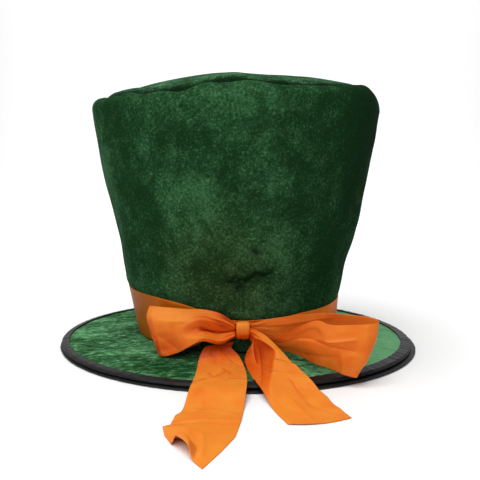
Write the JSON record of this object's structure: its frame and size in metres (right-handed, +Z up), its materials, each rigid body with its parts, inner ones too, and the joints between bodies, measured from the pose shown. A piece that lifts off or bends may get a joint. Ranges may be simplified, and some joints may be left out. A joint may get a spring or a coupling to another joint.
{
  "type": "leprechaun hat",
  "caption": "Tall flared costume top hat in crushed green velvet, with a flat tape-bound brim and an orange ribbon tied in a bow whose ends lie over the brim.",
  "frame": {"origin": "on the hat's axis in the plane of the surface that the brim rests on, in the middle of the opening for the head", "axes": "+Z up along the crown's axis, -Y towards the bow and the ribbon's loose ends, +X to the right as the bow is seen from in front"},
  "size_m": [0.352, 0.4975, 0.2694],
  "materials": {
    "crown_velvet": "crushed velvet, dark face on and lighter at a glance",
    "tip_velvet": "crushed velvet, lit from above",
    "brim_velvet": "crushed velvet, streaked along the brim",
    "binding_tape": "smooth black tape with a soft shine",
    "band_satin": "orange satin in the hat's shade",
    "bow_satin": "orange satin with soft creases"
  },
  "bodies": {
    "root": {"crown_side": "crown_velvet", "crown_tip": "tip_velvet", "brim": "brim_velvet", "brim_binding": "binding_tape", "ribbon_band": "band_satin", "bow_knot": "bow_satin", "bow_loop_left": "bow_satin", "bow_loop_right": "bow_satin", "tail_left": "bow_satin", "tail_right": "bow_satin"}
  },
  "joints": []
}
